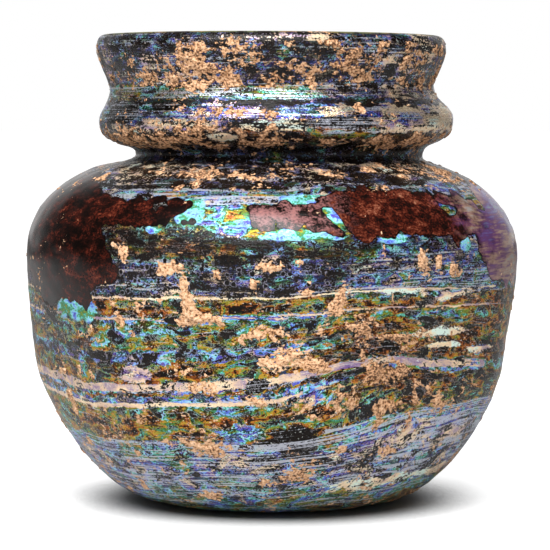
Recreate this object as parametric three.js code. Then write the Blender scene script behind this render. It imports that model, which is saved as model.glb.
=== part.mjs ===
// A squat jar of blown glass. Its body has a ring of dimples pressed into it, with a ridge left
// between each two, and a bulging collar runs between the tight neck and the flared rim.
// Lengths are in millimetres and angles in degrees. +Z is up, and the origin is on the table,
// at the middle of the flat base. The front looks along -Y.
import * as THREE from "three";

// Base
const BASE_RADIUS = 20.7;
const BASE_THICKNESS = 3.4;

// Body: it curves out from the base to the hip, and stands nearly upright up to the belly,
// which is its widest place
const BELLY_RADIUS = 45;
const HIP_INSET = 2;
const HIP_HEIGHT = 23;
const HIP_LEAN = 19;
const BELLY_RISE = 22.4;

// Shoulder and neck: the top of the shoulder slopes gently, then turns up into the neck
const SHOULDER_RISE = 15.7;
const SHOULDER_SLOPE = 17;
const NECK_RADIUS = 26.3;
const NECK_TURN = 5.1;
const NECK_RISE = 2.3;

// Collar, waist and rim
const COLLAR_BULGE = 6.2;
const COLLAR_RISE = 5.6;
const WAIST_INSET = 2.9;
const WAIST_RISE = 6.4;
const RIM_FLARE = 2.4;
const RIM_RISE = 7.1;
const LIP_RISE = 2.2;

// Glass
const WALL_THICKNESS = 2;
const LIP_THICKNESS = 3;

// Dimples: they run from below the hip to above the belly. No two are alike, so the spreads
// say how far one is deeper or taller than the average, and the swing says how far that
// changes from one dimple to the next.
const DIMPLE_COUNT = 7;
const DIMPLE_DEPTH = 2;
const DIMPLE_DEPTH_SPREAD = 0.5;
const DIMPLE_DROP = 15;
const DIMPLE_REACH = 2.6;
const DIMPLE_REACH_SPREAD = 4.5;
const DIMPLE_SWING = 115;
const FIRST_DIMPLE_SWING = 63;
const RIDGE_ROUNDNESS = 1.45;
const FIRST_RIDGE = 14;

// How long the outline keeps its direction before and after each place that it passes through,
// as shares of the way from the last place and to the next
const KEEPS = {
  base: { after: 0.33 },
  hip: { before: 0.22, after: 0.1 },
  belly: { before: 0.37, after: 0.3 },
  shoulder: { before: 0.47, after: 0.55 },
  neck: { before: 0.25, after: 0.24 },
  collar: { before: 0.55, after: 0.41 },
  waist: { before: 0.42, after: 0.12 },
  rim: { before: 0.35 },
};

// How the hand-made jar strays from a true body of revolution: sideways, towards +X, and by
// the angle at which that place of the outline rises towards +X
const SIDEWAYS = { shoulder: -0.5, neck: 1.45, collar: 0.8, waist: -0.1, rim: -0.15 };
const TILT = { neck: 0.4, collar: 0.8, waist: 0.3, rim: -0.25 };

// Facets
const OUTSIDE_FACETS = 6;
const INSIDE_FACETS = 4;
const LIP_FACETS = 6;
const FACETS_PER_DIMPLE = 8;

const radians = THREE.MathUtils.degToRad;

// The places that the outer outline passes through, from the base to the rim.
function makeOutline() {
  const bellyHeight = HIP_HEIGHT + BELLY_RISE;
  const shoulderHeight = bellyHeight + SHOULDER_RISE;
  const neckHeight = shoulderHeight + NECK_RISE;
  const collarHeight = neckHeight + COLLAR_RISE;
  const waistHeight = collarHeight + WAIST_RISE;
  const collarRadius = NECK_RADIUS + COLLAR_BULGE;
  const waistRadius = collarRadius - WAIST_INSET;
  const places = [
    { name: "base", radius: BASE_RADIUS, height: 0 },
    { name: "hip", radius: BELLY_RADIUS - HIP_INSET, height: HIP_HEIGHT },
    { name: "belly", radius: BELLY_RADIUS, height: bellyHeight },
    { name: "shoulder", radius: NECK_RADIUS + NECK_TURN, height: shoulderHeight },
    { name: "neck", radius: NECK_RADIUS, height: neckHeight },
    { name: "collar", radius: collarRadius, height: collarHeight },
    { name: "waist", radius: waistRadius, height: waistHeight },
    { name: "rim", radius: waistRadius + RIM_FLARE, height: waistHeight + RIM_RISE },
  ];
  // The angle of the outline out of the upright, where it isn't upright
  const leans = { base: 90, hip: HIP_LEAN, shoulder: SHOULDER_SLOPE - 90 };
  const walls = { base: BASE_THICKNESS, rim: LIP_THICKNESS };
  return places.map(({ name, radius, height }) => ({
    point: new THREE.Vector2(radius, height),
    direction: new THREE.Vector2(0, 1).rotateAround(new THREE.Vector2(), -radians(leans[name] ?? 0)),
    keeps: KEEPS[name],
    wall: walls[name] ?? WALL_THICKNESS,
    sideways: SIDEWAYS[name] ?? 0,
    tilt: radians(TILT[name] ?? 0),
  }));
}

// Between two places the outline is one Bézier curve.
function curveBetween(from, to) {
  const reach = from.point.distanceTo(to.point);
  const leave = from.point.clone().addScaledVector(from.direction, from.keeps.after * reach);
  const arrive = to.point.clone().addScaledVector(to.direction, -to.keeps.before * reach);
  return new THREE.CubicBezierCurve(from.point, leave, arrive, to.point);
}

// Points up one face of the wall: the outer face at a depth of 0 and the inner face at 1.
function facePoints(outline, depth, facets) {
  const points = [];
  for (let index = 1; index < outline.length; index++) {
    const [from, to] = [outline[index - 1], outline[index]];
    const curve = curveBetween(from, to);
    for (let step = index === 1 ? 0 : 1; step <= facets; step++) {
      const tangent = curve.getTangent(step / facets);
      const inward = new THREE.Vector2(-tangent.y, tangent.x);
      const wall = THREE.MathUtils.lerp(from.wall, to.wall, step / facets);
      points.push(curve.getPoint(step / facets).addScaledVector(inward, depth * wall));
    }
  }
  return points;
}

// The lip was rounded in the fire, so half an ellipse runs over the top of the wall.
function lipPoints(rim) {
  const half = rim.wall / 2;
  const arc = new THREE.EllipseCurve(rim.point.x - half, rim.point.y, half, LIP_RISE, 0, Math.PI);
  return arc.getPoints(LIP_FACETS).slice(1, -1);
}

// The section of the wall: from the axis under the base, up the outside, over the lip and down
// the inside to the axis above the base.
function makeSection(outline) {
  return [
    new THREE.Vector2(0, 0),
    ...facePoints(outline, 0, OUTSIDE_FACETS),
    ...lipPoints(outline[outline.length - 1]),
    ...facePoints(outline, 1, INSIDE_FACETS).reverse(),
    new THREE.Vector2(0, BASE_THICKNESS),
  ];
}

// How far a point at this angle and height is pressed in towards the axis.
function dimpleDepth(angle, height) {
  const turn = THREE.MathUtils.euclideanModulo(angle - radians(FIRST_RIDGE), 2 * Math.PI);
  const ridges = (turn * DIMPLE_COUNT) / (2 * Math.PI);
  const difference = Math.cos(radians(DIMPLE_SWING * Math.floor(ridges) + FIRST_DIMPLE_SWING));
  const bottom = HIP_HEIGHT - DIMPLE_DROP;
  const top = HIP_HEIGHT + BELLY_RISE + DIMPLE_REACH + DIMPLE_REACH_SPREAD * difference;
  if (height <= bottom || height >= top) return 0;
  const across = Math.abs(Math.sin(Math.PI * ridges)) ** RIDGE_ROUNDNESS;
  const along = Math.sin((Math.PI * (height - bottom)) / (top - bottom)) ** 2;
  return (DIMPLE_DEPTH + DIMPLE_DEPTH_SPREAD * difference) * across * along;
}

// How far the jar strays at this height: eased from one place of the outline to the next.
function strayAt(outline, height) {
  const next = outline.findIndex((place) => place.point.y > height);
  const to = next === -1 ? outline[outline.length - 1] : outline[Math.max(next, 1)];
  const from = outline[outline.indexOf(to) - 1];
  const share = THREE.MathUtils.smoothstep(height, from.point.y, to.point.y);
  return {
    sideways: THREE.MathUtils.lerp(from.sideways, to.sideways, share),
    tilt: THREE.MathUtils.lerp(from.tilt, to.tilt, share),
  };
}

// A body of revolution, then pressed into dimples and let stray as a hand-made jar does.
function makeJarGeometry() {
  const outline = makeOutline();
  const facetsAround = DIMPLE_COUNT * FACETS_PER_DIMPLE;
  const geometry = new THREE.LatheGeometry(makeSection(outline), facetsAround, radians(FIRST_RIDGE));
  geometry.rotateX(Math.PI / 2);
  const positions = geometry.getAttribute("position");
  const point = new THREE.Vector3();
  for (let index = 0; index < positions.count; index++) {
    point.fromBufferAttribute(positions, index);
    const radius = Math.hypot(point.x, point.y);
    const pressed = radius > 0 ? 1 - dimpleDepth(Math.atan2(point.x, -point.y), point.z) / radius : 1;
    const stray = strayAt(outline, point.z);
    const x = point.x * pressed + stray.sideways;
    positions.setXYZ(index, x, point.y * pressed, point.z + x * Math.tan(stray.tilt));
  }
  geometry.computeVertexNormals();
  return geometry;
}

const weatheredGlass = new THREE.MeshStandardMaterial({
  color: 0x5d5142,
  roughness: 0.45,
  metalness: 0.2,
});

const jar = new THREE.Mesh(makeJarGeometry(), weatheredGlass);
jar.name = "jar";

const dimpledJar = new THREE.Group();
dimpledJar.add(jar);

export default dimpledJar;
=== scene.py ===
# %% [markdown]
# # A dimpled jar of weathered glass
#
# The jar was blown from brown glass and buried for centuries. The damp ground turned its
# surface into a crust of very thin layers, which shine in rainbow colours, and left clumps of
# tan soil on it. Where the crust has come off, the bare brown glass shows.
#
# The solid of the jar comes from the frame at its real size, in metres, with +Z up. The side
# shown in the photograph faces -Y. This script gives it a smooth surface, its layers, its soil
# and its light.

# %% Load the frame
import math

import bmesh
import bpy
import numpy as np
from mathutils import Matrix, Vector


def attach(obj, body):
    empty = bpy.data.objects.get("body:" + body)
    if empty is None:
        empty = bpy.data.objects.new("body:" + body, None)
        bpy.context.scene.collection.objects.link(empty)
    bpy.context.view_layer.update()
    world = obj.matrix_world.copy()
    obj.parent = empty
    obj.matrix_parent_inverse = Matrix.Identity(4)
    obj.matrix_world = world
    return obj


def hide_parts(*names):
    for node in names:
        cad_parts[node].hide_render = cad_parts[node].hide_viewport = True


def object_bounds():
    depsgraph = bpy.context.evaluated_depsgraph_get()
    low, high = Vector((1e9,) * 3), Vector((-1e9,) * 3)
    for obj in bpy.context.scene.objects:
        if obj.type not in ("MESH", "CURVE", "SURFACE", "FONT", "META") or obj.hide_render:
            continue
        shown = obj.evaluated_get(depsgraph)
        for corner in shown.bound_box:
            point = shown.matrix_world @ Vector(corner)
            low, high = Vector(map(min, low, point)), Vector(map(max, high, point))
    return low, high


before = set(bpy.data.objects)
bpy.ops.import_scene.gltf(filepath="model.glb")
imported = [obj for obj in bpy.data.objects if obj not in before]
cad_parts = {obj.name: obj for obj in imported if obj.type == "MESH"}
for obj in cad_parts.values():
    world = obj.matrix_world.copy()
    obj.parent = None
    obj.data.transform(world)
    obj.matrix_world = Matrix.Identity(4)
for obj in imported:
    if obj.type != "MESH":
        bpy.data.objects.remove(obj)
cad_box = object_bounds()
MM = 0.001
print("nodes in the frame:", sorted(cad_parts))

# %% [markdown]
# ## Camera
#
# The photograph was taken from far off with a long lens, a little above the rim, so the jar
# shows almost no perspective and the far side of the mouth hides behind the near one. The
# distance, height and tilt were found by fitting the jar's outline.

# %% Camera
CAMERA_PLACE = (0.55 * MM, -478.2 * MM, 70.7 * MM)
CAMERA_TILT_DOWN = 0.062
LENS_MM = 171.3


def place_camera():
    """The scene's camera, on the middle line and tilted down a little."""
    camera = bpy.data.objects.new("camera", bpy.data.cameras.new("camera"))
    camera.data.lens = LENS_MM
    camera.data.sensor_width = 36
    camera.data.clip_start = 0.01
    camera.location = CAMERA_PLACE
    camera.rotation_euler = (math.pi / 2 - CAMERA_TILT_DOWN, 0, 0)
    bpy.context.scene.collection.objects.link(camera)
    bpy.context.scene.camera = camera


place_camera()
print("camera", CAMERA_PLACE, "with a lens of", LENS_MM, "mm")

# %% [markdown]
# ## Helpers for materials
#
# A material is a graph of nodes. Written out in full, each node takes several lines, so short
# helpers make a node, set its values and plug in its links in one go. Colours are written as
# in a colour picker, and turned into the linear values that Blender works with.

# %% Helpers for node graphs
def plug(tree, socket, value):
    """Links a socket, or sets a plain value."""
    if isinstance(value, bpy.types.NodeSocket):
        tree.links.new(value, socket)
    else:
        socket.default_value = value


def add(tree, kind, settings=None, **inputs):
    """A new node. An input is named as in Blender, with _ for a space."""
    node = tree.nodes.new("ShaderNode" + kind)
    for name, value in (settings or {}).items():
        setattr(node, name, value)
    for name, value in inputs.items():
        plug(tree, node.inputs[name.replace("_", " ")], value)
    return node


def calc(tree, operation, *values):
    """The result of one sum."""
    node = tree.nodes.new("ShaderNodeMath")
    node.operation = operation
    for socket, value in zip(node.inputs, values):
        plug(tree, socket, value)
    return node.outputs["Value"]


def fade(tree, value, low, high):
    """0 below low, 1 above high, and a smooth change between."""
    smooth = {"interpolation_type": "SMOOTHSTEP"}
    node = add(tree, "MapRange", smooth, Value=value, From_Min=low, From_Max=high)
    return node.outputs["Result"]


def blend(tree, share, below, above):
    """One colour over another, by share."""
    node = add(tree, "Mix", {"data_type": "RGBA"})
    for socket, value in zip((node.inputs[0], node.inputs[6], node.inputs[7]), (share, below, above)):
        plug(tree, socket, value)
    return node.outputs[2]


def paint(picked):
    """The linear colour of a colour picker's six hex digits."""
    parts = [int(picked[at:at + 2], 16) / 255 for at in (0, 2, 4)]
    return [part / 12.92 if part < 0.04 else ((part + 0.055) / 1.055) ** 2.4 for part in parts] + [1]


def node_group(name, inputs, outputs):
    """An empty group with named sockets: the tree, its input node and its output node."""
    tree = bpy.data.node_groups.new(name, "ShaderNodeTree")
    kinds = {"value": "NodeSocketFloat", "colour": "NodeSocketColor", "vector": "NodeSocketVector"}
    for direction, sockets in (("INPUT", inputs), ("OUTPUT", outputs)):
        for socket, kind in sockets.items():
            tree.interface.new_socket(name=socket, in_out=direction, socket_type=kinds[kind])
    return tree, tree.nodes.new("NodeGroupInput"), tree.nodes.new("NodeGroupOutput")


def use_group(tree, group, **inputs):
    """A group placed in a material."""
    node = tree.nodes.new("ShaderNodeGroup")
    node.node_tree = group
    for name, value in inputs.items():
        plug(tree, node.inputs[name.replace("_", " ")], value)
    return node.outputs


print("the middle grey 808080 is", round(paint("808080")[0], 3), "in linear light")

# %% [markdown]
# ## The smooth jar
#
# The solid in the frame is made of flat facets, which is right for a physics check but not for
# a close view. Its four-sided facets are a good cage for a subdivision surface, which rounds
# them without moving the jar. So the cage is copied, its triangles are joined back into
# quads, and it is subdivided: twice for the glass, and once more for the soil that sits on it.
# The solid itself stays as it is.

# %% Rounded copies of the solid
def rounded_copy(name, levels):
    """A smooth copy of the solid, as a new piece."""
    cage = bmesh.new()
    cage.from_mesh(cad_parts["jar"].data)
    bmesh.ops.remove_doubles(cage, verts=cage.verts, dist=0.01 * MM)
    bmesh.ops.join_triangles(
        cage, faces=cage.faces, angle_face_threshold=math.radians(50), angle_shape_threshold=math.pi
    )
    mesh = bpy.data.meshes.new(name)
    cage.to_mesh(mesh)
    cage.free()
    piece = bpy.data.objects.new(name, mesh)
    bpy.context.scene.collection.objects.link(piece)
    piece.modifiers.new("round", "SUBSURF").levels = levels
    graph = bpy.context.evaluated_depsgraph_get()
    piece.data = bpy.data.meshes.new_from_object(piece.evaluated_get(graph))
    piece.modifiers.clear()
    piece.data.materials.clear()
    piece.data.shade_smooth()
    return piece


glass = rounded_copy("jar_glass", 2)
quads = sum(len(face.vertices) == 4 for face in glass.data.polygons)
print("jar_glass has", len(glass.data.polygons), "faces, of which", quads, "are quads")

# %% [markdown]
# ## Places on the jar
#
# Everything on the surface is placed by two numbers, as on a globe: the angle from the front,
# in degrees towards +X, and the height in millimetres. Both are worked out once for every
# point of a mesh, along with which points belong to the outer face of the wall.

# %% Angle, height and side of every point
def read_points(mesh, field):
    """The positions or normals of a mesh, as rows of three."""
    flat = np.empty(len(mesh.vertices) * 3, dtype=np.float32)
    mesh.vertices.foreach_get(field, flat)
    return flat.reshape(-1, 3).astype(float)


def find_places(mesh):
    """Where each point of a mesh lies on the jar. Lengths are in mm and angles in degrees."""
    points = read_points(mesh, "co") / MM
    normals = read_points(mesh, "normal")
    radius = np.hypot(points[:, 0], points[:, 1])
    outward = (normals[:, 0] * points[:, 0] + normals[:, 1] * points[:, 1]) / np.maximum(radius, 0.1)
    return {
        "points": points,
        "normals": normals,
        "radius": radius,
        "angle": np.degrees(np.arctan2(points[:, 0], -points[:, 1])),
        "height": points[:, 2],
        "outside": (outward > 0.02) | (normals[:, 2] < -0.9),
    }


def store(mesh, name, values):
    """Keeps a number, or three of them, at every point of a mesh, for the material to read."""
    kind, field = ("FLOAT", "value") if values.ndim == 1 else ("FLOAT_VECTOR", "vector")
    mesh.attributes.new(name, kind, "POINT").data.foreach_set(field, values.astype(np.float32).ravel())


on_glass = find_places(glass.data)
print("height from", on_glass["height"].min().round(2), "to", on_glass["height"].max().round(2), "mm")

# %% [markdown]
# ## Noise for shapes
#
# Weathering and soil look random, but neighbouring points look alike. Lattice noise does that:
# every whole-number place gets a random value, and the points between are eased from one to the
# next. A few sizes of it added up give clumps with finer and finer edges. The random values
# come from mixing the whole numbers with a seed, so every run gives the same jar.

# %% Lattice noise
def lattice_noise(points, seed):
    """A smooth random number from -1 to 1 at every point."""
    cell = np.floor(points).astype(np.int64)
    share = points - cell
    share = share ** 3 * (share * (share * 6 - 15) + 10)
    total = np.zeros(len(points))
    for corner in np.ndindex(2, 2, 2):
        mixed = (cell + corner) @ np.array([73856093, 19349663, 83492791]) + seed * 2654435761
        mixed = (mixed ^ (mixed >> 13)) * 1274126177
        value = ((mixed ^ (mixed >> 16)) & 65535) / 32767.5 - 1
        total += value * np.prod(np.where(corner, share, 1 - share), axis=1)
    return total


def clumps(points, size, seed, octaves=3, stretch=1.0):
    """Noise with clumps of this size in mm, evened out so that its usual value is about 1."""
    scaled = points / size * np.array([1, 1, stretch])
    total = sum(0.55 ** k * lattice_noise(scaled * 2 ** k + 31 * k, seed + k) for k in range(octaves))
    return total / total.std()


row = np.column_stack([np.arange(6), np.zeros(6), np.zeros(6)])
print("clumps of 3 mm, read at every mm of a row:", clumps(row, 3, 5).round(1))

# %% [markdown]
# ## Layers
#
# The colours run round the jar in layers, like the layers of a cliff. They were laid down level,
# but they rise and fall by a few millimetres with the ridges and dimples, and most of all low
# on the right side. So every point gets a stratum: its height, less the amount by which the
# layers are lifted at its angle. Materials then paint by stratum, and the layers bend by
# themselves. A second number, the drift, lets the thickness of a layer change slowly.

# %% The stratum of every point
LIFT_BY_ANGLE = {
    # angle in degrees: lift in mm
    -180: 2, -130: 4, -90: 0.5, -48: -1.2, -20: 0, 0: 0.9, 8: 2.1, 15: 3.9,
    27: 5, 40: 3.7, 62: 2.2, 100: 1, 130: 3.5, 160: 3, 180: 2,
}
LOW_LIFT_BY_ANGLE = {
    -180: 2.5, -130: 4, -90: 0.5, -48: -1.2, -20: 0, 0: 0.6, 8: 1.6, 17: 2.8, 25: 4, 33: 4.8,
    50: 5.5, 62: 6.6, 90: 5, 130: 3.5, 160: 3, 180: 2.5,
}
LEVEL_ABOVE = 46  # mm: from here up the layers lie level
CHANGE_OVER = 19, 26  # mm: between these heights the upper lift takes over from the lower one


def find_layers(places):
    """x and y as they are, and the stratum in place of the height."""
    height = places["height"]
    lift = np.interp(places["angle"], list(LIFT_BY_ANGLE), list(LIFT_BY_ANGLE.values()))
    low_lift = np.interp(places["angle"], list(LOW_LIFT_BY_ANGLE), list(LOW_LIFT_BY_ANGLE.values()))
    upper = lift * np.clip((LEVEL_ABOVE - height) / 19, 0, 1.25)
    lower = low_lift * np.clip(height / 18, 0, 1)
    start, end = CHANGE_OVER
    stratum = height - lower - (upper - lower) * np.clip((height - start) / (end - start), 0, 1)
    wobble = 0.15 * clumps(places["points"], 9, 17, octaves=2, stretch=2) * (height < 60)
    return np.column_stack([places["points"][:, :2], stratum + wobble])


layers = find_layers(on_glass)
drift = 0.08 * clumps(on_glass["points"], 8, 41, stretch=2.2)
store(glass.data, "drift", drift)
store(glass.data, "layers", layers)
store(glass.data, "angle", on_glass["angle"])
print("strata from", layers[:, 2].min().round(1), "to", layers[:, 2].max().round(1), "mm")

# %% [markdown]
# ## Bare skins
#
# On the shoulder the crust has come away in large flakes, and the smooth brown skin under it
# shows. Their outlines were traced as corners of angle and height. Every point gets its
# distance to the outline, above 0 inside it, and the material turns that into a scalloped
# edge with a coloured border in places. Round the sides and the back, where nothing could be
# traced, noise makes the outlines uneven instead.

# %% Outlines of the skins
BODY_RADIUS = 43  # mm, for turning angles into lengths round the body
TRACED_TO = 68  # degrees from the front, as far as the outlines could be traced
SKINS = {
    # corners as pairs of angle and height
    "left": [
        (-63, 60.6), (-46, 56.9), (-37, 56), (-32, 56.6), (-21, 56.3), (-19, 54.9), (-24, 52.4),
        (-28, 51.3), (-41, 51.6), (-41, 50.1), (-36, 44.6), (-36, 42.1), (-46, 40), (-43, 38.1), (-47, 37.2),
        (-55, 38.6), (-63, 36.4), (-69, 37.2), (-68, 40.1), (-78, 41), (-100, 42), (-118, 47), (-112, 54),
        (-90, 60), (-75, 61),
    ],
    "island": [(-21, 52.7), (-18, 53.4), (-17.5, 52.1), (-22, 51.2)],
    "middle": [
        (-8, 55.4), (-4, 55.4), (3, 55.9), (8, 55.5), (11, 55.4), (13, 53.3), (16, 51), (18, 49.5),
        (15, 50.3), (9, 50.5), (7, 51.5), (6, 50.7), (4, 51.5), (3, 51), (1, 52.4), (0, 51.4), (-2, 50.9),
        (-4, 51.7), (-5, 53.8), (-7, 54.3),
    ],
    "right": [
        (3, 57.2), (12, 56.1), (12, 55.1), (15, 53.6), (18, 49.5), (22, 49.1), (30, 50.4), (34, 49.7),
        (44, 49.7), (44, 48.1), (46, 47.2), (48, 49), (53, 49.5), (54, 46.3), (58, 42.7), (61, 40.8),
        (69, 40.5), (88, 40), (102, 47), (92, 57), (75, 58.8), (66, 57.3), (63, 53.3), (59, 55.8), (55, 57.2),
        (50, 56.8), (38, 57.5), (24, 58.4), (18, 57.8),
    ],
    "back_left": [
        (-169, 56), (-156, 57), (-146, 52), (-142, 46), (-150, 41), (-163, 40), (-172, 44), (-173, 51),
    ],
    "back_right": [(118, 57), (135, 56), (150, 52), (146, 45), (132, 43), (120, 48)],
}
CRUST_LEFT = [
    # small pieces of crust left inside the skins: a green one and a blue one
    [(-29, 54.6), (-28, 55.4), (-25, 55.4), (-24.7, 54.7), (-29, 54.3)],
    [(44.5, 55.3), (50, 54.3), (48.5, 53.3), (45.5, 53.7)],
]
FRINGES = [
    # angle, height, half width and half height in mm
    (-51, 36.6, 7, 2.2), (-19, 54, 2.6, 2.6), (-27, 51.2, 2.4, 0.5), (6, 50.3, 8, 0.9), (14, 53.5, 2.2, 3),
    (9, 56.2, 5, 0.9), (28, 49.6, 3, 0.8), (49, 48.3, 1.5, 1.5), (135, 45, 12, 2), (-160, 44, 12, 2),
]


def inside_outline(corners, places):
    """How far each point lies inside an outline, in mm, and below 0 outside it."""
    across, height = np.radians(places["angle"]) * BODY_RADIUS, places["height"]
    corners = [(math.radians(angle) * BODY_RADIUS, up) for angle, up in corners]
    nearest = np.full(len(height), 99.0)
    inside = np.zeros(len(height), dtype=bool)
    for (x1, y1), (x2, y2) in zip(corners, corners[1:] + corners[:1]):
        side_x, side_y = x2 - x1, y2 - y1
        along = ((across - x1) * side_x + (height - y1) * side_y) / (side_x ** 2 + side_y ** 2)
        along = np.clip(along, 0, 1)
        away = np.hypot(across - x1 - along * side_x, height - y1 - along * side_y)
        nearest = np.minimum(nearest, away)
        if y1 != y2:
            crossed = x1 + (height - y1) * side_x / side_y
            inside ^= ((y1 > height) != (y2 > height)) & (across < crossed)
    return np.where(inside, nearest, -nearest)


def bump_at(places, angle, height, half_width, half_height):
    """1 in the middle of a spot, and less and less away from it."""
    turn = (places["angle"] - angle + 180) % 360 - 180
    across = np.radians(turn) * np.maximum(places["radius"], 20) / half_width
    return np.exp(-((across ** 2 + ((places["height"] - height) / half_height) ** 2) ** 1.5))


skin = np.max([inside_outline(corners, on_glass) for corners in SKINS.values()], axis=0)
for corners in CRUST_LEFT:
    skin = np.minimum(skin, -inside_outline(corners, on_glass))
skin += 1.3 * clumps(on_glass["points"], 5, 71, octaves=2) * (np.abs(on_glass["angle"]) > TRACED_TO)
fringe = sum(bump_at(on_glass, *spot) for spot in FRINGES)
store(glass.data, "skin", np.clip(skin, -9, 9))
store(glass.data, "fringe", fringe)
print("bare skin on", round(100 * (skin > 0).mean(), 1), "% of the points")

# %% [markdown]
# ## Single marks
#
# A few marks stand out from the layers: a blue patch low on the front, dark places where
# everything came off, cream strips on the right side, and an orange one on the collar. Each
# is a place with the thickness of its film. A thickness below 0 leaves the dark glass. Where
# two marks meet, their thicknesses are mixed by how near each one is.

# %% Marks with their own film
MARKS = [
    # angle, height, half width and half height in mm, film thickness
    (30, 40.7, 6, 0.7, 0.96), (44, 39.5, 6, 0.8, 0.95), (44, 33.3, 8, 0.9, 0.9),
    (45, 30.8, 4, 0.6, 0.92), (58, 29.6, 5, 0.7, 0.9), (-33, 26.3, 3.6, 1.5, 0.845),
    (-8, 16.4, 4.2, 1.5, 0.63), (-2, 16.1, 1.8, 1.2, 0.74), (5, 14.7, 4.8, 2.6, -0.9),
    (9, 17.9, 3, 0.9, 0.33), (-19, 18.6, 2.6, 0.9, 0.2),
    (-2, 11.3, 3.5, 0.9, -0.4), (12, 11.3, 3.5, 1, -0.4), (10, 23.2, 3, 1.5, 0.66),
    (-3.5, 25, 2.2, 1.2, -0.9), (16, 67.5, 3.2, 1.2, 0.17), (28, 67.3, 4.5, 1.1, 0.38),
    (-16, 66.3, 3, 0.8, 0.9), (27, 36.3, 4, 1.1, 0.38), (52, 57.9, 4, 1.2, 0.67),
    (61, 55.2, 3, 1.6, 0.4), (-2, 57.2, 4, 0.6, 0.24), (-26, 57, 3.5, 0.6, 0.27),
    (-14, 56.2, 4, 0.6, 0.68), (38, 18.9, 12, 0.4, 0.52), (-10, 70.6, 5, 0.8, 0.66),
    (-30, 35, 3.5, 0.9, 0.58), (-4, 36.3, 6, 0.5, 0.9), (-42, 31.5, 4, 0.9, 0.6),
    (170, 30, 9, 1.2, 0.9), (-120, 40, 10, 1, 0.6), (110, 22, 8, 1, 0.64), (-1, 52.6, 12, 3, 0.5),
    (-9, 54.5, 3, 1.6, 0.62), (47, 54.4, 3, 1.4, 0.56), (-25, 70.2, 2.5, 0.8, 0.67),
    (-33, 70.6, 2, 0.6, 0.43), (48, 70.2, 3.5, 0.9, 0.7), (-60, 70.5, 7, 2.2, -0.4),
    (-36, 71.8, 3, 0.8, -0.4), (23, 69.2, 6.5, 0.9, -0.6),
]
weights = [bump_at(on_glass, *spot) for *spot, film in MARKS]
marked = sum(weights)
mark_film = sum(weight * film for weight, (*spot, film) in zip(weights, MARKS)) / np.maximum(marked, 0.01)
store(glass.data, "marked", marked)
store(glass.data, "mark_film", mark_film)
print(len(MARKS), "marks on", round(100 * (marked > 0.5).mean(), 1), "% of the points")
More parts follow.
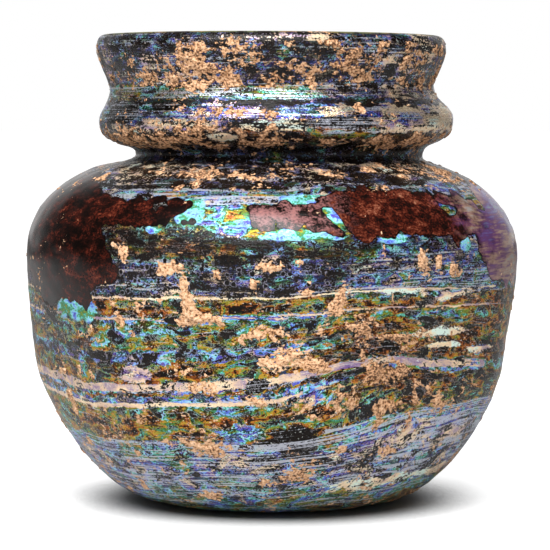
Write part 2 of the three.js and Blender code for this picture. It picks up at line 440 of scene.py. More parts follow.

# %% [markdown]
# ## Where the soil lies
#
# Soil clings where the jar lay in it and where a tool can't reach: round the rim, under the
# collar and on top of the shoulder, with single lumps and trails below. A rule by height says
# how much there is in each ring. A list of places adds the lumps. Noise then
# breaks both up into clumps. A value above 0 is soil.

# %% The amount of soil
SOIL_BY_HEIGHT = {
    # height in mm: amount
    0: -1.1, 4: -1.3, 9: -1.2, 16: -1.35, 38: -1.6, 45: -1.7, 52: -2.4, 56.5: -2, 58.3: -1.5, 59.5: -1.2,
    60.8: -0.9, 61.6: -1.1, 62.3: -1.5, 64: -1.4, 64.8: -0.3, 66: 0.3, 67.6: -0.3, 69.5: -0.9, 71.5: -1.05,
    73: -1.05, 74.2: -1, 75.6: 0.1, 77.5: 0, 80: -0.1, 82.8: -0.2, 83.6: -1.2, 85: -1.6,
}
SOIL_PLACES = [
    # angle, height, half width and half height in mm, amount
    (-34, 47, 1.1, 1.3, 4), (-37, 48.6, 0.6, 0.6, 4), (-25, 49.1, 1, 1.1, 2.2), (-24, 44.7, 1, 1, 4),
    (-22, 45.8, 0.6, 0.5, 4), (-21, 44.8, 1.1, 0.8, 3.5), (-20, 42.1, 0.9, 1.8, 3.5),
    (-19, 38.9, 1, 1.8, 3.5), (-20, 35.8, 2.2, 1.4, 3), (-15, 36.2, 2.2, 0.9, 3),
    (-11.5, 35.1, 1, 0.5, 3), (-38, 38.3, 0.6, 1.1, 3.2), (-36, 36, 0.5, 1.1, 3.2),
    (-33, 33.3, 0.6, 0.6, 3), (-2, 45.3, 2.3, 0.8, 2.6), (6, 45.9, 0.9, 0.4, 3),
    (2, 47.9, 1.1, 0.9, 2.2), (-12, 43.5, 0.7, 1.4, 2.6), (-4, 42.1, 0.8, 1, 3.2),
    (7, 40.8, 1.6, 0.5, 2), (-2, 33.9, 3, 1.1, 3), (-7, 32.4, 2, 0.8, 3), (4, 30.5, 4.5, 2.2, 1.9),
    (10, 28.3, 2.5, 1, 2), (15, 40.5, 1.2, 1.8, 3), (13.5, 38, 1.2, 1.6, 3), (11.5, 35, 1.1, 1.6, 2.6),
    (25, 47.6, 0.9, 1.4, 2.6), (30, 48, 1.5, 1.1, 2.8), (35, 46, 1, 1.5, 2.6), (40, 45.7, 1, 1.5, 2.6),
    (36, 43.8, 0.9, 0.9, 2.5), (46, 43.5, 2.2, 1.8, 2.2), (32, 42.8, 0.7, 0.7, 2.4),
    (22, 36, 3, 2.5, 0.9), (29, 33.2, 4, 1.8, 1.4), (37, 31.5, 4, 2, 1.3), (21, 32.5, 4, 2.5, 1.2),
    (-9, 70.8, 4, 0.9, 2), (29, 71.6, 1.2, 0.7, 2.4), (-17, 24.4, 2.6, 1.4, 2.6),
    (12, 27.4, 1.4, 0.8, 2.5), (-2, 21.9, 1.7, 0.8, 2.2), (-21, 15.2, 2.4, 1.8, 1.8),
    (-14, 13.4, 3, 0.8, 2.6), (17, 22.5, 3.4, 3, 2), (24, 26.8, 2.4, 1.8, 2.6),
    (31, 26.6, 2.8, 2, 2.2), (28, 20.6, 2.8, 1.4, 2.8), (37, 23, 0.9, 2.4, 2.8),
    (41, 23.3, 0.8, 0.9, 3), (45, 21.2, 1.9, 1.4, 2.4), (27, 17.8, 1, 1.6, 3),
    (36, 17.1, 0.9, 1.8, 2.6), (33, 12.5, 2.3, 1.2, 2.2), (18, 13.5, 1.8, 0.8, 2.4),
    (8, 8.4, 2.6, 0.9, 2.3), (-1, 7.6, 2.3, 1, 2), (-21, 4.4, 2.2, 0.8, 2.6), (-53, 26, 0.6, 1.2, 3),
    (-47, 25.4, 0.6, 0.9, 3), (-42, 26.4, 0.7, 0.9, 3), (-61, 20.5, 0.9, 2.4, 2.6),
    (-22, 27.1, 2.2, 0.9, 2.2), (-26, 14.7, 2.7, 1.2, 2.2), (-43, 15.6, 0.9, 1.6, 2.4),
    (-40, 11.8, 1.2, 1.4, 2.2), (-34, 18.3, 1.2, 0.8, 2.2), (-47, 5.2, 1, 1.6, 2.2),
    # larger, thinner spreads: the right-hand dimple, the two edges of the body and its back
    (28, 27, 13, 8, 0.25), (75, 25, 9, 18, 0.5), (-72, 22, 7, 16, 0.5), (150, 30, 30, 14, 0.6),
    (-140, 28, 25, 12, 0.5),
    # nearly clean: the left end of the rim and its top edge on the left
    (-68, 80, 9, 6, -1.3), (-48, 83, 7, 2.2, -1.6), (-62, 70, 8, 3, -0.6), (52, 80, 15, 5, -0.5),
    (58, 70, 9, 3, -0.6), (22, 67.4, 8, 1.1, -3), (-16, 66.3, 3, 1, -2.2),
]


LUMP_SPREAD = 1.15  # lumps are a little wider and lower than traced, for the noise to cut back
LUMP_HEIGHT = 0.95


def find_soil(places):
    """The usual amount of soil at each point, before noise."""
    amount = np.interp(places["height"], list(SOIL_BY_HEIGHT), list(SOIL_BY_HEIGHT.values()))
    for angle, height, half_width, half_height, more in SOIL_PLACES:
        lump = bump_at(places, angle, height, LUMP_SPREAD * half_width, LUMP_SPREAD * half_height)
        amount += LUMP_HEIGHT * more * lump
    # on top of the shoulder the soil lies in long rings
    ring = places["points"] / np.maximum(places["radius"], 1)[:, None] * 35
    ring[:, 2] = places["height"] * 6
    on_shoulder = np.clip(1.5 - np.abs(places["height"] - 59) / 2, 0, 1)
    return amount + 0.9 * clumps(ring, 6, 81, octaves=2) * on_shoulder


def find_tone_and_shade(places):
    """How much darker than usual the soil is: browner low on the right, and round the top in painted shade.
    """
    low_right = bump_at(places, 30, 28, 16, 16)
    # painted shade: round the top the soil is made darker, as the flared surfaces there face away from the
    # light
    tone_and_shade = -0.1 * (places["height"] > 57) - 0.07 * low_right
    tone_and_shade += 0.03 * clumps(places["points"], 7, 61, octaves=2)
    return np.where(places["outside"], tone_and_shade, -0.12)


store(glass.data, "tone_and_shade", find_tone_and_shade(on_glass))
soil = find_soil(on_glass) + 0.6 * clumps(on_glass["points"], 3.2, 5)
# fine soil at the bottom of the inside
soil += np.where(on_glass["outside"], 0, 1.6 * (on_glass["height"] < 9))
store(glass.data, "soil", soil)
print("thin soil on about", round(100 * (soil[on_glass["outside"]] > 0).mean()), "% of the outside")

# %% [markdown]
# ## Weathered surface
#
# The crust isn't even: it swells and sinks by about a tenth of a millimetre. The points of the
# glass are moved inwards by a little noise, never outwards, so the jar keeps its size.

# %% Sink the surface a little
MOST_WEAR = 0.35  # mm


def move_points(mesh, points):
    """Moves the points of a mesh, but never out of the solid's box."""
    (low, high) = (np.array(corner) for corner in cad_box)
    mesh.vertices.foreach_set("co", np.clip(points * MM, low, high).astype(np.float32).ravel())
    mesh.update()


wear = 0.16 + 0.05 * clumps(on_glass["points"], 6, 11, stretch=2)
wear += 0.02 * clumps(on_glass["points"], 2, 12, stretch=2)
wear = np.clip(wear, 0, MOST_WEAR) * on_glass["outside"]
move_points(glass.data, on_glass["points"] - on_glass["normals"] * wear[:, None])
print("wear of up to", wear.max().round(2), "mm")

# %% [markdown]
# ## Colours of a thin layer
#
# A layer thinner than a hair's hundredth part strengthens some colours of light and cancels
# others. As it gets thicker, its colour runs through a fixed order: brown, gold, green,
# blue, violet and pale again. So one number, the thickness of the film, gives every colour
# on this jar, and neighbouring thicknesses always have neighbouring colours. It is a node
# group, because both faces of the wall use it.

# %% Group: film thickness to colour
FILM_COLOURS = [
    # film thickness, colour
    (0.00, "150f0b"), (0.09, "452510"), (0.18, "a55a24"), (0.26, "bc8c30"), (0.34, "888a2a"),
    (0.41, "4a7a32"), (0.47, "36806a"), (0.51, "66ccb4"), (0.55, "98d4e2"), (0.61, "729ee4"),
    (0.67, "4e62cc"), (0.73, "4a3a9e"), (0.79, "785c92"), (0.84, "ae98a4"), (0.88, "e0c0a2"),
    (0.94, "f4dcb6"), (1.00, "dcefe4"),
]


def fill_ramp(ramp, stops):
    """Sets a colour ramp's stops, which are pairs of place and colour."""
    elements = ramp.elements
    elements.remove(elements[1])
    elements[0].position, elements[0].color = stops[0]
    for position, colour in stops[1:]:
        elements.new(position).color = colour


tree, start, end = node_group("interference_colour", {"Film": "value"}, {"Color": "colour"})
ramp = add(tree, "ValToRGB", Fac=start.outputs["Film"])
fill_ramp(ramp.color_ramp, [(film, paint(colour)) for film, colour in FILM_COLOURS])
plug(tree, end.inputs["Color"], ramp.outputs["Color"])
interference_colour = tree
print("film colours from", FILM_COLOURS[0][1], "to", FILM_COLOURS[-1][1])

# %% [markdown]
# ## Streaks, blotches and flecks
#
# The crust breaks up in several sizes: long level streaks and thinner lines, patches with curly
# outlines, blotches of a few millimetres and flecks as small as sand. One group makes them all
# from the layers, so they follow the bends of the layers too. Each size of noise is stretched:
# the lines are 16 mm long and a third of a millimetre high, the flecks nearly round.

# %% Group: streaks
def noise_at(tree, vector, across, upright, detail, roughness=0.55, curl=0.0):
    """Noise with this size in mm along the layers and across them, and curly outlines on request."""
    scaled = add(tree, "VectorMath", {"operation": "MULTIPLY"})
    plug(tree, scaled.inputs[0], vector)
    scaled.inputs[1].default_value = (1 / across, 1 / across, 1 / upright)
    settings = {"Scale": 1, "Detail": detail, "Roughness": roughness, "Distortion": curl}
    noise = add(tree, "TexNoise", Vector=scaled.outputs["Vector"], **settings)
    return noise.outputs[0]


tree, start, end = node_group(
    "streaks", {"Layers": "vector"},
    {"Streak": "value", "Line": "value", "Patch": "value", "Blotch": "value", "Fleck": "value"},
)
place = start.outputs["Layers"]
plug(tree, end.inputs["Streak"], noise_at(tree, place, 5, 0.5, 3))
plug(tree, end.inputs["Line"], noise_at(tree, place, 16, 0.3, 1))
plug(tree, end.inputs["Patch"], noise_at(tree, place, 3.4, 2, 2, 0.5, curl=0.9))
plug(tree, end.inputs["Blotch"], noise_at(tree, place, 2.8, 1.7, 4, 0.6))
plug(tree, end.inputs["Fleck"], noise_at(tree, place, 0.42, 0.32, 3, 0.65))
streaks = tree
print("the streaks take", len(tree.nodes), "nodes")

# %% [markdown]
# ## Stain of thin soil
#
# Under and around each clump of soil the crust is stained by a film of it, too thin to need a
# shape of its own. The group turns the amount of soil at a place into a mask with crisp, crumbly
# edges and a colour that varies from grain to grain, with painted shade in the gaps between the
# crumbs and round the top of the jar.

# %% Group: soil stain
tree, start, end = node_group(
    "soil_stain", {"Soil": "value", "Tone": "value", "Layers": "vector"},
    {"Mask": "value", "Color": "colour", "Grain": "value"},
)
crumbs = noise_at(tree, start.outputs["Layers"], 1.1, 0.8, 4, 0.65)
grain = noise_at(tree, start.outputs["Layers"], 0.42, 0.36, 2, 0.6)
edge = calc(tree, "MULTIPLY_ADD", calc(tree, "SUBTRACT", crumbs, 0.5), 8.5, start.outputs["Soil"])
plug(tree, end.inputs["Mask"], fade(tree, edge, -0.08, 0.12))
# the grain is given more contrast, as painted shade in the dark gaps between the crumbs, and the tone and
# painted shade of the place are added
tone_and_shade = calc(tree, "ADD", calc(tree, "MULTIPLY_ADD", grain, 1.6, -0.29), start.outputs["Tone"])
ramp = add(tree, "ValToRGB", Fac=calc(tree, "MULTIPLY_ADD", calc(tree, "SUBTRACT", crumbs, 0.5), 0.9, tone_and_shade))
SOIL_COLOURS = [(0.26, "50341f"), (0.36, "a37552"), (0.46, "c4946c"), (0.6, "d6aa84"), (0.8, "e4c09e")]
fill_ramp(ramp.color_ramp, [(value, paint(picked)) for value, picked in SOIL_COLOURS])
plug(tree, end.inputs["Color"], ramp.outputs["Color"])
plug(tree, end.inputs["Grain"], grain)
soil_stain = tree
print("soil from", SOIL_COLOURS[0][1], "to", SOIL_COLOURS[-1][1])

# %% [markdown]
# ## Outer face of the glass
#
# Each band of strata has its own film thickness, its own share of dark places where the film
# has flaked off, and its own share of pale lines. The front and the right side have weathered
# differently, so each has its own list of bands, written from the foot of the jar up. Cream
# strips, the thickest and smoothest layers, lie between the bands and have sharper borders.

# %% Bands of the crust
FRONT_BANDS = [
    # lowest stratum in mm, film thickness, share flaked off, share of pale lines
    (0, 0.5, 0.22, 0.6), (4, 0.62, 0.3, 0.9), (8.5, 0.72, 0.35, 0.8), (11, 0.61, 0.25, 0.85),
    (14.6, 0.31, 0.27, 0.2), (17.5, 0.25, 0.3, 0.1), (19, 0.35, 0.25, 0.2), (21.4, 0.6, 0.25, 0.4),
    (22.8, 0.21, 0.3, 0.1), (23.5, 0.56, 0.2, 0.4), (25, 0.23, 0.35, 0.1), (27.2, 0.33, 0.38, 0.2),
    (28.7, 0.66, 0.5, 0.3), (30.8, 0.31, 0.4, 0.1), (33.2, 0.44, 0.42, 0.3), (35.2, 0.6, 0.38, 0.3),
    (36.4, 0.2, 0.25, 0.1), (38.1, 0.32, 0.3, 0.2), (39.5, 0.76, 0.6, 0.6), (44.5, 0.68, 0.6, 0.5),
    (46.1, 0.43, 0.64, 0.05), (50.2, 0.42, 0.55, 0.1), (55, 0.68, 0.42, 0.95), (58, 0.83, 0.74, 0.75),
    (61.7, 0.68, 0.72, 0.3), (64.5, 0.15, 0.7, 0.1), (66.8, 0.82, 0.6, 0.5), (69, 0.6, 0.4, 0.7),
    (71.9, 0.7, 0.8, 0.6), (73.1, 0.4, 0.28, 0.85), (75, 0.76, 0.66, 0.6),
]
RIGHT_BANDS = [
    (0, 0.32, 0.25, 0.4), (2, 0.5, 0.2, 0.5), (4.2, 0.96, 0.3, 0.8), (5.4, 0.68, 0.36, 1),
    (9, 0.75, 0.38, 0.9), (11.5, 0.65, 0.25, 0.9), (13.4, 0.56, 0.2, 0.9), (14.6, 0.31, 0.5, 0.05),
    (23.2, 0.55, 0.4, 0.3), (25.6, 0.2, 0.4, 0.1), (28.5, 0.29, 0.35, 0.1), (31, 0.19, 0.35, 0.1),
    (33.6, 0.31, 0.28, 0.1), (35.4, 0.2, 0.3, 0.1), (38, 0.3, 0.3, 0.3), (39, 0.62, 0.35, 0.8),
    (43, 0.7, 0.5, 0.6), (46, 0.63, 0.45, 0.7), (49, 0.7, 0.5, 0.4), (55, 0.68, 0.42, 0.95),
    (58, 0.83, 0.74, 0.75), (61.7, 0.68, 0.72, 0.3), (64.5, 0.15, 0.7, 0.1), (66.8, 0.86, 0.25, 0.9),
    (69, 0.84, 0.22, 1), (71.9, 0.7, 0.75, 0.6), (73.1, 0.86, 0.4, 0.8), (75, 0.78, 0.62, 0.7),
]
STRIPS = [
    # straighter and paler than the bands: the last number is 1 where there is a strip
    (0, 0, 0, 0), (20.9, 0.885, 0.16, 1), (21.7, 0, 0, 0), (23.8, 0.865, 0.24, 1), (25.2, 0, 0, 0),
    (35.7, 0.88, 0.3, 1), (36.1, 0, 0, 0), (39.2, 0.92, 0.15, 1), (39.5, 0, 0, 0),
    (45.8, 0.86, 0.3, 1), (46.05, 0, 0, 0),
]


HIGHEST_STRATUM = 90


def band_ramp(tree, stratum, bands):
    """Film thickness, share flaked off and share of pale lines, as three outputs."""
    ramp = add(tree, "ValToRGB", Fac=calc(tree, "DIVIDE", stratum, HIGHEST_STRATUM))
    ramp.color_ramp.interpolation = "CONSTANT"
    stops = [(bottom / HIGHEST_STRATUM, (film, lost, pale, 1)) for bottom, film, lost, pale in bands]
    fill_ramp(ramp.color_ramp, stops)
    return add(tree, "SeparateColor", Color=ramp.outputs["Color"]).outputs


def mix_values(tree, share, below, above):
    """One value over another, by share."""
    node = add(tree, "Mix")
    for socket, value in zip((node.inputs[0], node.inputs[2], node.inputs[3]), (share, below, above)):
        plug(tree, socket, value)
    return node.outputs[0]


def offset(tree, noise, amount, start):
    """Adds noise, which is 0.5 on average, to a value."""
    return calc(tree, "MULTIPLY_ADD", calc(tree, "SUBTRACT", noise, 0.5), amount, start)


def terraces(tree, noise, steps):
    """Noise cut into flat steps, and how far up its own step each place is."""
    raised = calc(tree, "MULTIPLY", noise, steps)
    level = calc(tree, "FLOOR", raised)
    middle = calc(tree, "DIVIDE", calc(tree, "ADD", level, 0.5), steps)
    return middle, calc(tree, "SUBTRACT", raised, level)


def read(tree, name, output="Fac"):
    """A number that was kept at every point of the mesh."""
    return add(tree, "Attribute", {"attribute_name": name}).outputs[output]


print(len(FRONT_BANDS), "bands at the front and", len(RIGHT_BANDS), "on the right side")

# %% [markdown]
# ## Which film lies where
#
# The material first finds the film at each place. The borders of the bands are made ragged by
# blotches and flecks. Single marks come next, and then the film changes from patch to patch
# in small steps, as one layer after another has peeled away.

# %% Material of the outer face: the film
def new_material(name):
    """A new material, its graph and the shader in it."""
    material = bpy.data.materials.new(name)
    material.use_nodes = True
    return material, material.node_tree, material.node_tree.nodes["Principled BSDF"]


outer, tree, shader = new_material("weathered_outside")
place = read(tree, "layers", "Vector")
angle = read(tree, "angle")
marks = use_group(tree, streaks, Layers=place)
streak, line, patch, blotch, fleck = (marks[name] for name in ("Streak", "Line", "Patch", "Blotch", "Fleck"))

# the bands, and the ragged border between the front and the right side
stratum = add(tree, "SeparateXYZ", Vector=place).outputs["Z"]
ragged = offset(tree, blotch, 4, offset(tree, fleck, 1.2, stratum))
front, right = band_ramp(tree, ragged, FRONT_BANDS), band_ramp(tree, ragged, RIGHT_BANDS)
turned = offset(tree, blotch, 40, angle)
on_right = calc(tree, "MULTIPLY", calc(tree, "GREATER_THAN", turned, 17), calc(tree, "LESS_THAN", turned, 95))
film, lost, pale = (mix_values(tree, on_right, front[k], right[k]) for k in range(3))

# cream strips: the lowest ends a little right of the middle, and the others on the right side
strip = band_ramp(tree, offset(tree, blotch, 1.1, offset(tree, fleck, 0.7, stratum)), STRIPS)
strip_end = calc(tree, "MULTIPLY_ADD", calc(tree, "GREATER_THAN", stratum, 22.5), 50, 8)
after_start = calc(tree, "GREATER_THAN", offset(tree, streak, 60, turned), -115)
before_end = calc(tree, "LESS_THAN", offset(tree, streak, 30, turned), strip_end)
in_strip = calc(tree, "MULTIPLY", calc(tree, "MULTIPLY", strip[2], after_start), before_end)
film, lost = mix_values(tree, in_strip, film, strip[0]), mix_values(tree, in_strip, lost, strip[1])

# single marks
chosen = offset(tree, blotch, 1.5, offset(tree, fleck, 1, read(tree, "marked")))
chosen = fade(tree, chosen, 0.42, 0.5)
film = mix_values(tree, chosen, film, read(tree, "mark_film"))
lost = calc(tree, "MULTIPLY", lost, calc(tree, "MULTIPLY_ADD", chosen, -0.85, 1))
drift = calc(tree, "MULTIPLY", read(tree, "drift"), calc(tree, "MULTIPLY_ADD", in_strip, -0.8, 1))
film = calc(tree, "ADD", film, drift)

# the change from patch to patch, which is small in the cream layers and runs in level streaks
# on the collar, where the film is polished. The layers of the belly are blotchy, not streaky.
polished = calc(tree, "MULTIPLY", fade(tree, stratum, 67.5, 69), fade(tree, stratum, 75.5, 74.5))
calm = calc(tree, "GREATER_THAN", film, 0.84)
blotchy = calc(tree, "MULTIPLY", fade(tree, ragged, 13.5, 15.5), fade(tree, ragged, 40, 38.5))
level, slope = terraces(tree, patch, 11)
small_level = terraces(tree, blotch, 13)[0]
rough = mix_values(tree, blotchy, streak, blotch)
change = offset(tree, level, 1.4, offset(tree, small_level, 0.55, offset(tree, rough, 0.2, 0)))
change = offset(tree, fleck, 0.2, change)
change = calc(tree, "MULTIPLY", change, calc(tree, "MULTIPLY_ADD", polished, -0.5, 1))
change = offset(tree, streak, calc(tree, "MULTIPLY", polished, 0.9), change)
film = calc(tree, "MULTIPLY_ADD", change, calc(tree, "MULTIPLY_ADD", calm, -0.8, 1), film)
print("film at each place:", len(tree.nodes), "nodes so far")

# %% [markdown]
# ## Colour of the crust
#
# The film gives the colour. Dark flecks and a dark line along the edge of each step break it
# up, and a few grains get a painted glint. Pale lines are the edges of layers seen from the side.

# %% Material of the outer face: colour and pale lines
colour = use_group(tree, interference_colour, Film=film)["Color"]
shade = fade(tree, offset(tree, fleck, 1, rough), 0.41, 0.5)
shade = calc(tree, "MAXIMUM", calc(tree, "MULTIPLY_ADD", shade, 0.9, 0.1), calc(tree, "MULTIPLY", calm, 0.95))
step = calc(tree, "MULTIPLY", fade(tree, slope, 0.14, 0.02), calc(tree, "SUBTRACT", 1, calm))
shade = calc(tree, "MULTIPLY", shade, calc(tree, "MULTIPLY_ADD", step, -0.6, 1))
colour = blend(tree, shade, paint("080605"), colour)
# painted highlight: a few grains are turned nearly white, as glints
painted_glint = fade(tree, offset(tree, streak, 0.4, fleck), 0.64, 0.67)
colour = blend(tree, calc(tree, "MULTIPLY", painted_glint, 0.8), colour, paint("e8eeea"))

wanted = calc(tree, "MULTIPLY_ADD", pale, -0.3, 0.77)
pale_mask = fade(tree, calc(tree, "SUBTRACT", offset(tree, fleck, 0.5, line), wanted), -0.03, 0.05)
pale_colour = blend(tree, fade(tree, film, 0.78, 0.86), paint("b9bcc8"), paint("ddc8aa"))
colour = blend(tree, calc(tree, "MULTIPLY", pale_mask, 0.8), colour, pale_colour)
print("colour of the crust:", len(tree.nodes), "nodes so far")

# %% [markdown]
# ## Flaked places and pits
#
# Where the whole film has flaked off, the glass is nearly black, and the broken edge round it
# is pale. One layer of the front is also eaten by round pits with pale rims.

# %% Material of the outer face: flaked places and pits
finer = offset(tree, streak, 0.5, offset(tree, fleck, 0.5, blotch))
spread = offset(tree, streak, 0.3, offset(tree, fleck, 0.7, mix_values(tree, blotchy, finer, patch)))
missing = calc(tree, "SUBTRACT", spread, calc(tree, "MULTIPLY_ADD", lost, -0.42, 0.72))
chipped = calc(tree, "MULTIPLY", fade(tree, missing, -0.04, -0.02), fade(tree, streak, 0.4, 0.55))
colour = blend(tree, calc(tree, "MULTIPLY", chipped, 0.65), colour, paint("b4b4bc"))
missing = fade(tree, missing, -0.01, 0.02)
bottom = blend(tree, fade(tree, fleck, 0.45, 0.65), paint("060404"), paint("1c1410"))
colour = blend(tree, missing, colour, bottom)

# a pit of its own size in each cell, in the layer between the strata 40 and 46, in front only
pit = add(tree, "TexVoronoi", {"feature": "F1"}, Vector=place, Scale=0.95)
size = add(tree, "SeparateColor", Color=pit.outputs["Color"]).outputs[0]
away = offset(tree, fleck, 0.6, pit.outputs["Distance"])
edge = calc(tree, "SUBTRACT", calc(tree, "MULTIPLY_ADD", size, 0.5, -0.02), away)
in_layer = calc(tree, "MULTIPLY", fade(tree, ragged, 39.6, 40.2), fade(tree, ragged, 46, 45.4))
in_layer = calc(tree, "MULTIPLY", in_layer, calc(tree, "SUBTRACT", 1, on_right))
rim = calc(tree, "MULTIPLY", in_layer, fade(tree, edge, -0.1, -0.04))
colour = blend(tree, calc(tree, "MULTIPLY", rim, 0.6), colour, paint("9c9aac"))
pitted = calc(tree, "MULTIPLY", in_layer, fade(tree, edge, -0.01, 0.03))
colour = blend(tree, pitted, colour, paint("0a0706"))
print("flaked places and pits:", len(tree.nodes), "nodes so far")

# %% [markdown]
# ## Colour of the skins
#
# The skins are mottled from nearly black to red-brown, with a pale pink bloom in the middle and
# a mauve veil towards the right edge. Their outlines are scalloped with a dark line inside and,
# in places, a bright border of thin film outside.

# %% Material of the outer face: skins
scallop = add(tree, "TexVoronoi", {"feature": "F1"}, Vector=place, Scale=0.42).outputs["Distance"]
skin_edge = calc(tree, "MULTIPLY_ADD", calc(tree, "SUBTRACT", 0.5, scallop), 1.5, read(tree, "skin"))
skin_edge = offset(tree, fleck, 0.5, skin_edge)
bare = fade(tree, skin_edge, -0.05, 0.08)
fringe = fade(tree, offset(tree, blotch, 1.2, read(tree, "fringe")), 0.3, 0.5)
fringe = calc(tree, "MULTIPLY", fringe, fade(tree, skin_edge, -3.2, -2.2))
fringe_film = offset(tree, blotch, 0.9, offset(tree, fleck, 0.4, 0.52))
colour = blend(tree, fringe, colour, use_group(tree, interference_colour, Film=fringe_film)["Color"])

# the mottled brown, lighter from the left side to the middle
lighter = offset(tree, fade(tree, angle, -20, 10), 0.12, 0.42)
ramp = add(tree, "ValToRGB", Fac=offset(tree, fleck, 0.9, offset(tree, blotch, 1.2, lighter)))
SKIN_COLOURS = [(0.25, "080302"), (0.4, "200b07"), (0.53, "3c120a"), (0.68, "683222"), (0.88, "a07258")]
fill_ramp(ramp.color_ramp, [(value, paint(picked)) for value, picked in SKIN_COLOURS])

# the bloom in the middle and the veil on the right
bloom = calc(tree, "MULTIPLY", fade(tree, turned, -14, -4), fade(tree, turned, 20, 10))
bloom = calc(tree, "MULTIPLY", bloom, fade(tree, offset(tree, fleck, 0.6, blotch), 0.38, 0.6))
brown = blend(tree, calc(tree, "MULTIPLY", bloom, 0.55), ramp.outputs["Color"], paint("a87878"))
veil_film = offset(tree, streak, 0.6, calc(tree, "ADD", 0.8, read(tree, "drift")))
veil = use_group(tree, interference_colour, Film=offset(tree, blotch, 0.3, veil_film))["Color"]
veil = blend(tree, 0.76, veil, paint("5a323e"))
veiled = calc(tree, "MULTIPLY", fade(tree, turned, 44, 64), fade(tree, turned, 125, 110))
skin_colour = blend(tree, veiled, brown, veil)
# the dark line inside the edge
edge_line = calc(tree, "MULTIPLY", fade(tree, skin_edge, 0.35, 0.15), bare)
skin_colour = blend(tree, edge_line, skin_colour, paint("080404"))
colour = blend(tree, bare, colour, skin_colour)
print("skins:", len(tree.nodes), "nodes so far")

# %% [markdown]
# ## Thin soil, gloss and relief
#
# Thin soil covers everything else. The film is half a mirror, and more so on the collar, where
# it is smoothest. The skin is glossy and the soil is dull. A bump map a tenth of a millimetre deep
# gives the steps of the layers, the flaked places and the grains of soil their relief.

# %% Material of the outer face: soil, gloss and relief
thin_soil = calc(tree, "SUBTRACT", read(tree, "soil"), 0.25)
stain = use_group(tree, soil_stain, Soil=thin_soil, Tone=read(tree, "tone_and_shade"), Layers=place)
dirty = stain["Mask"]
colour = blend(tree, dirty, colour, stain["Color"])

clean = calc(tree, "SUBTRACT", 1, dirty)
film_left = calc(tree, "MULTIPLY", calc(tree, "SUBTRACT", 1, calc(tree, "MAXIMUM", bare, missing)), clean)
plug(tree, shader.inputs["Base Color"], colour)
mirror = calc(tree, "MULTIPLY_ADD", polished, 0.3, 0.5)
plug(tree, shader.inputs["Metallic"], calc(tree, "MULTIPLY", film_left, mirror))
shader.inputs["Specular IOR Level"].default_value = 0.2
gloss = offset(tree, fleck, 0.5, calc(tree, "MULTIPLY_ADD", polished, -0.08, 0.36))
gloss = mix_values(tree, calc(tree, "MAXIMUM", bare, missing), gloss, 0.22)
plug(tree, shader.inputs["Roughness"], mix_values(tree, dirty, gloss, 0.9))

depth = calc(tree, "MULTIPLY", calc(tree, "MAXIMUM", missing, pitted), -0.6)
depth = offset(tree, level, 5, offset(tree, fleck, 1.4, offset(tree, streak, 1, depth)))
depth = mix_values(tree, bare, depth, offset(tree, blotch, 0.5, -0.9))
depth = calc(tree, "MULTIPLY_ADD", dirty, offset(tree, stain["Grain"], 2, 1.2), depth)
bump = add(tree, "Bump", Height=depth, Strength=0.8, Distance=0.1 * MM)
plug(tree, shader.inputs["Normal"], bump.outputs["Normal"])
glass.data.materials.append(outer)
print("outer face:", len(tree.nodes), "nodes")

# %% [markdown]
# ## Inner face
#
# Inside, the damp soil lay still and left a dull olive crust with little colour, and fine soil
# gathered at the bottom. The same groups serve, with other values.

# %% Material of the inner face
inner, tree, shader = new_material("weathered_inside")
place = read(tree, "layers", "Vector")
marks = use_group(tree, streaks, Layers=place)
film = offset(tree, marks["Streak"], 0.5, offset(tree, marks["Blotch"], 0.6, 0.36))
colour = use_group(tree, interference_colour, Film=film)["Color"]
colour = blend(tree, 0.75, colour, paint("54483c"))
missing = fade(tree, offset(tree, marks["Fleck"], 0.4, marks["Blotch"]), 0.52, 0.56)
colour = blend(tree, missing, colour, paint("231c17"))
stain = use_group(tree, soil_stain, Soil=read(tree, "soil"), Tone=-0.1, Layers=place)
plug(tree, shader.inputs["Base Color"], blend(tree, stain["Mask"], colour, stain["Color"]))
plug(tree, shader.inputs["Roughness"], mix_values(tree, stain["Mask"], 0.5, 0.92))
depth = calc(tree, "MULTIPLY", missing, -0.4)
depth = calc(tree, "MULTIPLY_ADD", stain["Mask"], offset(tree, stain["Grain"], 2, 1), depth)
bump = add(tree, "Bump", Height=depth, Strength=0.8, Distance=0.1 * MM)
plug(tree, shader.inputs["Normal"], bump.outputs["Normal"])
glass.data.materials.append(inner)

outside_face = np.array(
    [on_glass["outside"][list(face.vertices)].mean() > 0.5 for face in glass.data.polygons]
)
glass.data.polygons.foreach_set("material_index", np.where(outside_face, 0, 1).astype(np.int32))
print("inner face:", int((~outside_face).sum()), "faces")

# %% [markdown]
# ## Clumps of soil
#
# The thickest clumps stand a quarter of a millimetre off the glass and catch the light, so they
# get a mesh of their own. It is a finer copy of the jar's surface, raised where the soil is
# thick, lowered under the glass where there is little, and cut away where it can't be seen.
# Its borders lie within the painted stain, whose crumbly edge is finer than any facet.

# %% Mesh of the soil
SOIL_SUNK = 0.14  # mm, so that the thinnest soil lies close to the worn glass
UNDER_GLASS = -0.45  # mm, where there is no soil

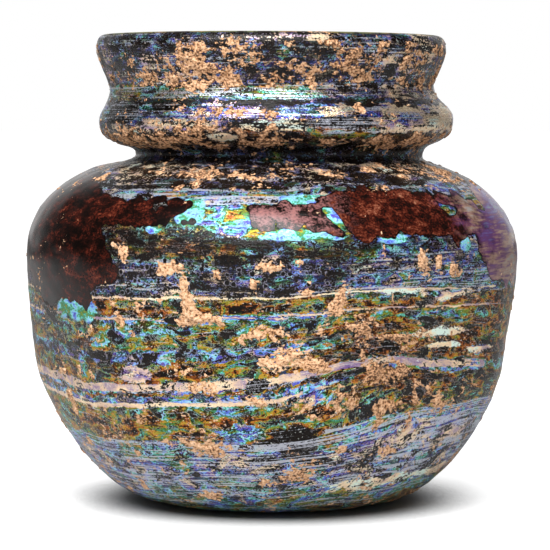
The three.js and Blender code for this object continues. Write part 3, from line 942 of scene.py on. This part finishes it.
crust = rounded_copy("soil_crust", 3)
on_crust = find_places(crust.data)
points = on_crust["points"]
amount = find_soil(on_crust) + 0.55 * clumps(points, 3.2, 5)
amount += 0.8 * clumps(points, 1.7, 21, octaves=4, stretch=1.4)
at_bottom = 1.8 * (on_crust["height"] < 5)
amount = np.where(on_crust["outside"], amount - 0.5, np.minimum(amount, -1) + at_bottom)
ease = np.clip(amount / 0.9, 0, 1)
ease = ease * ease * (3 - 2 * ease)
crumb = clumps(points, 0.7, 31, octaves=2)
thickness = 0.03 + 0.14 * ease + 0.035 * crumb
thickness = np.where(amount > 0, thickness, UNDER_GLASS)
move_points(crust.data, points + on_crust["normals"] * (thickness - SOIL_SUNK)[:, None])
store(crust.data, "layers", find_layers(on_crust))
store(crust.data, "tone_and_shade", find_tone_and_shade(on_crust))

shape = bmesh.new()
shape.from_mesh(crust.data)
shape.verts.ensure_lookup_table()
empty = [face for face in shape.faces if all(amount[corner.index] <= 0 for corner in face.verts)]
bmesh.ops.delete(shape, geom=empty, context="FACES")
shape.to_mesh(crust.data)
shape.free()
print("soil_crust:", len(crust.data.polygons), "faces")

# %% [markdown]
# ## Soil seen close
#
# The clumps wear the same soil as the stain, so no border shows between the two. Small dark
# specks of painted shade are added in the crevices between the grains, and a bump map gives
# every grain its light and shadow.

# %% Material of the soil
earth, tree, shader = new_material("tan_soil")
place = read(tree, "layers", "Vector")
stain = use_group(tree, soil_stain, Soil=5, Tone=read(tree, "tone_and_shade"), Layers=place)
# painted shade: small dark specks in the crevices between the grains
crevice_shade_specks = fade(tree, noise_at(tree, place, 0.45, 0.35, 2), 0.62, 0.68)
colour = blend(tree, calc(tree, "MULTIPLY", crevice_shade_specks, 0.75), stain["Color"], paint("54402f"))
plug(tree, shader.inputs["Base Color"], colour)
shader.inputs["Roughness"].default_value = 0.92
bump = add(tree, "Bump", Height=stain["Grain"], Strength=0.9, Distance=0.12 * MM)
plug(tree, shader.inputs["Normal"], bump.outputs["Normal"])
crust.data.materials.append(earth)
print("soil:", len(tree.nodes), "nodes")

# %% [markdown]
# ## Floor and light
#
# The jar stands on a pale floor under one large softbox, a little to the left and above the
# camera. Its reflection is the bright patch on the shoulder. A dim room fills the shadows, and
# a bright wall behind the jar pales the edges of the glass. To the camera the floor and the
# room look plain white: the floor glows with painted light, which fades into a painted shadow
# only where the jar shuts out the open sky.

# %% Floor, softbox and surroundings
SOFTBOX_PLACE = (-0.11, -0.46, 0.60)
SOFTBOX_SIZE = (0.6, 0.36)
SOFTBOX_WATTS = 11


def add_mesh(name, corners, faces):
    """A piece made of these corners and faces."""
    piece = bpy.data.objects.new(name, bpy.data.meshes.new(name))
    piece.data.from_pydata(corners, [], faces)
    bpy.context.scene.collection.objects.link(piece)
    return piece


floor = add_mesh("floor", [(-9, -9, 0), (9, -9, 0), (9, 9, 0), (-9, 9, 0)], [(0, 1, 2, 3)])
material, tree, shader = new_material("pale_floor")
camera_sees = add(tree, "LightPath").outputs["Is Camera Ray"]
plug(tree, shader.inputs["Base Color"], blend(tree, camera_sees, paint("d8d8d8"), paint("969696")))
shader.inputs["Roughness"].default_value = 0.9
shader.inputs["Emission Color"].default_value = (1, 1, 1, 1)
# painted light and shadow: the floor glows for the camera, and less where the jar shuts out the sky
open_sky = add(tree, "AmbientOcclusion", {"samples": 8}, Distance=36 * MM).outputs["AO"]
glow = fade(tree, open_sky, 0.25, 0.62)
plug(tree, shader.inputs["Emission Strength"], calc(tree, "MULTIPLY", camera_sees, glow))
floor.data.materials.append(material)

lamp = bpy.data.lights.new("softbox", "AREA")
lamp.shape = "RECTANGLE"
lamp.size, lamp.size_y = SOFTBOX_SIZE
lamp.energy = SOFTBOX_WATTS
softbox = bpy.data.objects.new("softbox", lamp)
softbox.location = SOFTBOX_PLACE
aim = Vector((0, 0, 50 * MM)) - softbox.location
softbox.rotation_euler = aim.to_track_quat("-Z", "Y").to_euler()
bpy.context.scene.collection.objects.link(softbox)

world = bpy.data.worlds.new("studio")
bpy.context.scene.world = world
world.use_nodes = True
tree = world.node_tree
depth = add(tree, "SeparateXYZ", Vector=add(tree, "TexCoord").outputs["Generated"]).outputs["Y"]
behind = calc(tree, "MULTIPLY", fade(tree, depth, 0.65, 1), 0.9)
front = calc(tree, "MULTIPLY", fade(tree, depth, -0.1, -0.8), 0.15)
camera_sees = add(tree, "LightPath").outputs["Is Camera Ray"]
seen = calc(tree, "MAXIMUM", calc(tree, "ADD", behind, front), camera_sees)
tree.nodes["Background"].inputs["Color"].default_value = (1, 1, 1, 1)
plug(tree, tree.nodes["Background"].inputs["Strength"], calc(tree, "MULTIPLY_ADD", seen, 0.92, 0.08))
bpy.context.scene.view_settings.view_transform = "Standard"
print("a softbox of", SOFTBOX_SIZE, "m and", SOFTBOX_WATTS, "W at", SOFTBOX_PLACE)

# %% [markdown]
# ## Hand over
#
# Both pieces belong to the one body of the jar, and the rounded glass takes the place of
# the faceted solid.

# %% Hand over
for piece in (glass, crust):
    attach(piece, "root")
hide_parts("jar")
